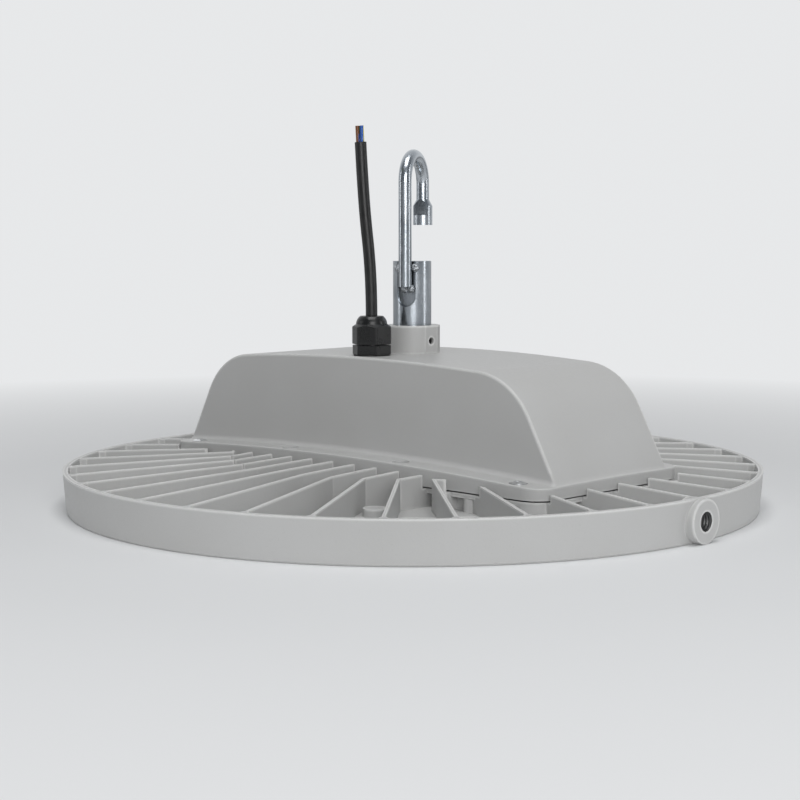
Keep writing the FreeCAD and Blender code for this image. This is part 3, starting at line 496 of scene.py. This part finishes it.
def add_screw_domes():
    """The polished domes of the eight screw heads, each a polar grid around one middle point.

    The rings' radii are the dome's radius times equal steps raised to the ring spread.
    """
    radii = DOME_RADIUS * np.linspace(0.0, 1.0, DOME_RINGS)[1:] ** RING_SPREAD
    angles = np.linspace(0.0, FULL_TURN, DOME_COLUMNS, endpoint=False)
    radius, angle = np.meshgrid(radii, angles, indexing="ij")
    across, along = radius * np.cos(angle), radius * np.sin(angle)
    rings = np.stack((across, along, dome_height(across, along)), axis=-1).reshape(-1, 3)
    head = np.concatenate(([[0.0, 0.0, dome_height(0.0, 0.0)]], rings))
    quads = ring_faces(radius.shape, first=1)
    innermost = 1 + np.arange(DOME_COLUMNS)
    fan = np.stack((np.zeros(DOME_COLUMNS, int), innermost, np.roll(innermost, -1)), axis=-1)
    points, faces = [], []
    for number, place in enumerate(HEAD_PLACES):
        first = number * len(head)
        points += (head + np.array((*place, 0.0))).tolist()
        faces += (quads + first).tolist() + (fan + first).tolist()
    add_piece("screw_domes", points, faces, "bright_screw", smooth=True)


add_screw_domes()


# ---------------------------------------------------------------- studio

BACKDROP = (0.80, 0.81, 0.82, 1)
AMBIENT, DARK_SIDE = (0.20, 0.204, 0.208, 1), (0.15, 0.165, 0.185, 1)
DARK_SIDE_START, DARK_SIDE_FULL = -0.8, 0.1
FLOOR_COLOURS = ((0.78, 0.79, 0.80, 1), (0.80, 0.81, 0.82, 1))
FLOOR_HALF_SIZE, FADE_START, FADE_END = 12.0, 0.3, 0.9

# Directions from the light: level towards the camera, level to the camera's right, and up.
TOWARD = Vector((0.694, -0.72, 0.0))
ACROSS = Vector((0.72, 0.694, 0.0))
UP = Vector((0.0, 0.0, 1.0))

# Of each lamp: its place, the height that it faces, its width and height, and its power in watts.
LAMPS = {
    "front": (TOWARD * 1.95 + ACROSS * 0.32 + UP * 0.7, 0.05, (1.0, 1.0), 17.0),
    "right": (ACROSS * 1.5 + TOWARD * 0.25 + UP * 0.5, 0.15, (0.22, 0.95), 2.2),
    "left": (ACROSS * -1.6 + TOWARD * 0.1 + UP * 0.5, 0.15, (0.16, 0.95), 1.6),
    "top": (UP * 1.9 + TOWARD * 0.45, 0.0, (1.2, 1.2), 17.0),
    "under": (UP * -1.6, 0.0, (1.4, 1.4), 9.0),
}


def add_floor():
    """A wide plain floor at the lower rim that fades into the backdrop away from the object.

    It is clear from below and lets the lamp under it shine through, so that the underside can be
    looked at.
    """
    half = FLOOR_HALF_SIZE
    mesh = bpy.data.meshes.new("floor")
    mesh.from_pydata([(-half, -half, 0), (half, -half, 0), (half, half, 0), (-half, half, 0)],
                     [], [(0, 1, 2, 3)])
    floor = add_object("floor", mesh)
    surface = Maker("floor", Roughness=0.9)
    surface.link("Base Color", surface.mix(surface.noise(3.0), *FLOOR_COLOURS))
    distance = surface.node("ShaderNodeVectorMath", {0: surface.place}, output="Value",
                            operation="LENGTH")
    seen = surface.node("ShaderNodeLightPath", output="Is Camera Ray")
    glow = surface.node("ShaderNodeEmission", {"Color": BACKDROP})
    fade = surface.span(distance, FADE_START, FADE_END) * seen
    fading = surface.node("ShaderNodeMixShader", {0: fade, 1: surface.principled, 2: glow})
    below = surface.node("ShaderNodeNewGeometry", output="Backfacing")
    shadow = surface.node("ShaderNodeLightPath", output="Is Shadow Ray")
    either = surface.node("ShaderNodeMath", {0: below, 1: shadow}, operation="MAXIMUM")
    clear = surface.node("ShaderNodeBsdfTransparent")
    surface.show(surface.node("ShaderNodeMixShader", {0: either, 1: fading, 2: clear}))
    mesh.materials.append(surface.material)


def add_lamp(name, place, aim_height, size, power):
    """An area lamp of a width and height that faces a point on the vertical through the origin."""
    data = bpy.data.lights.new(name, "AREA")
    data.shape, data.energy = "RECTANGLE", power
    data.size, data.size_y = size
    lamp = add_object(name, data)
    lamp.location = place
    lamp.rotation_euler = (UP * aim_height - place).to_track_quat("-Z", "Y").to_euler()


def add_world():
    """A pale surround; polished metal sees it darker on the side from which one looks."""
    world = bpy.data.worlds.new("studio")
    world.use_nodes = True
    sky = Graph(world.node_tree)
    direction = sky.node("ShaderNodeTexCoord", output="Generated")
    facing = sky.node("ShaderNodeVectorMath", {0: direction, 1: TOWARD}, output="Value",
                      operation="DOT_PRODUCT")
    polished = sky.mix(sky.span(facing, DARK_SIDE_START, DARK_SIDE_FULL), BACKDROP, DARK_SIDE)
    glossy = sky.node("ShaderNodeLightPath", output="Is Glossy Ray")
    seen = sky.node("ShaderNodeLightPath", output="Is Camera Ray")
    colour = sky.mix(seen, sky.mix(glossy, AMBIENT, polished), BACKDROP)
    background = sky.node("ShaderNodeBackground", {"Color": colour, "Strength": 1.0})
    sky.node("ShaderNodeOutputWorld", {"Surface": background})
    bpy.context.scene.world = world


def add_studio():
    """Soft light from above, a broad front fill, two slim side panels and a lamp underneath."""
    add_floor()
    for name, settings in LAMPS.items():
        add_lamp(name, *settings)
    add_world()
    bpy.context.scene.view_settings.view_transform = "Standard"


add_studio()
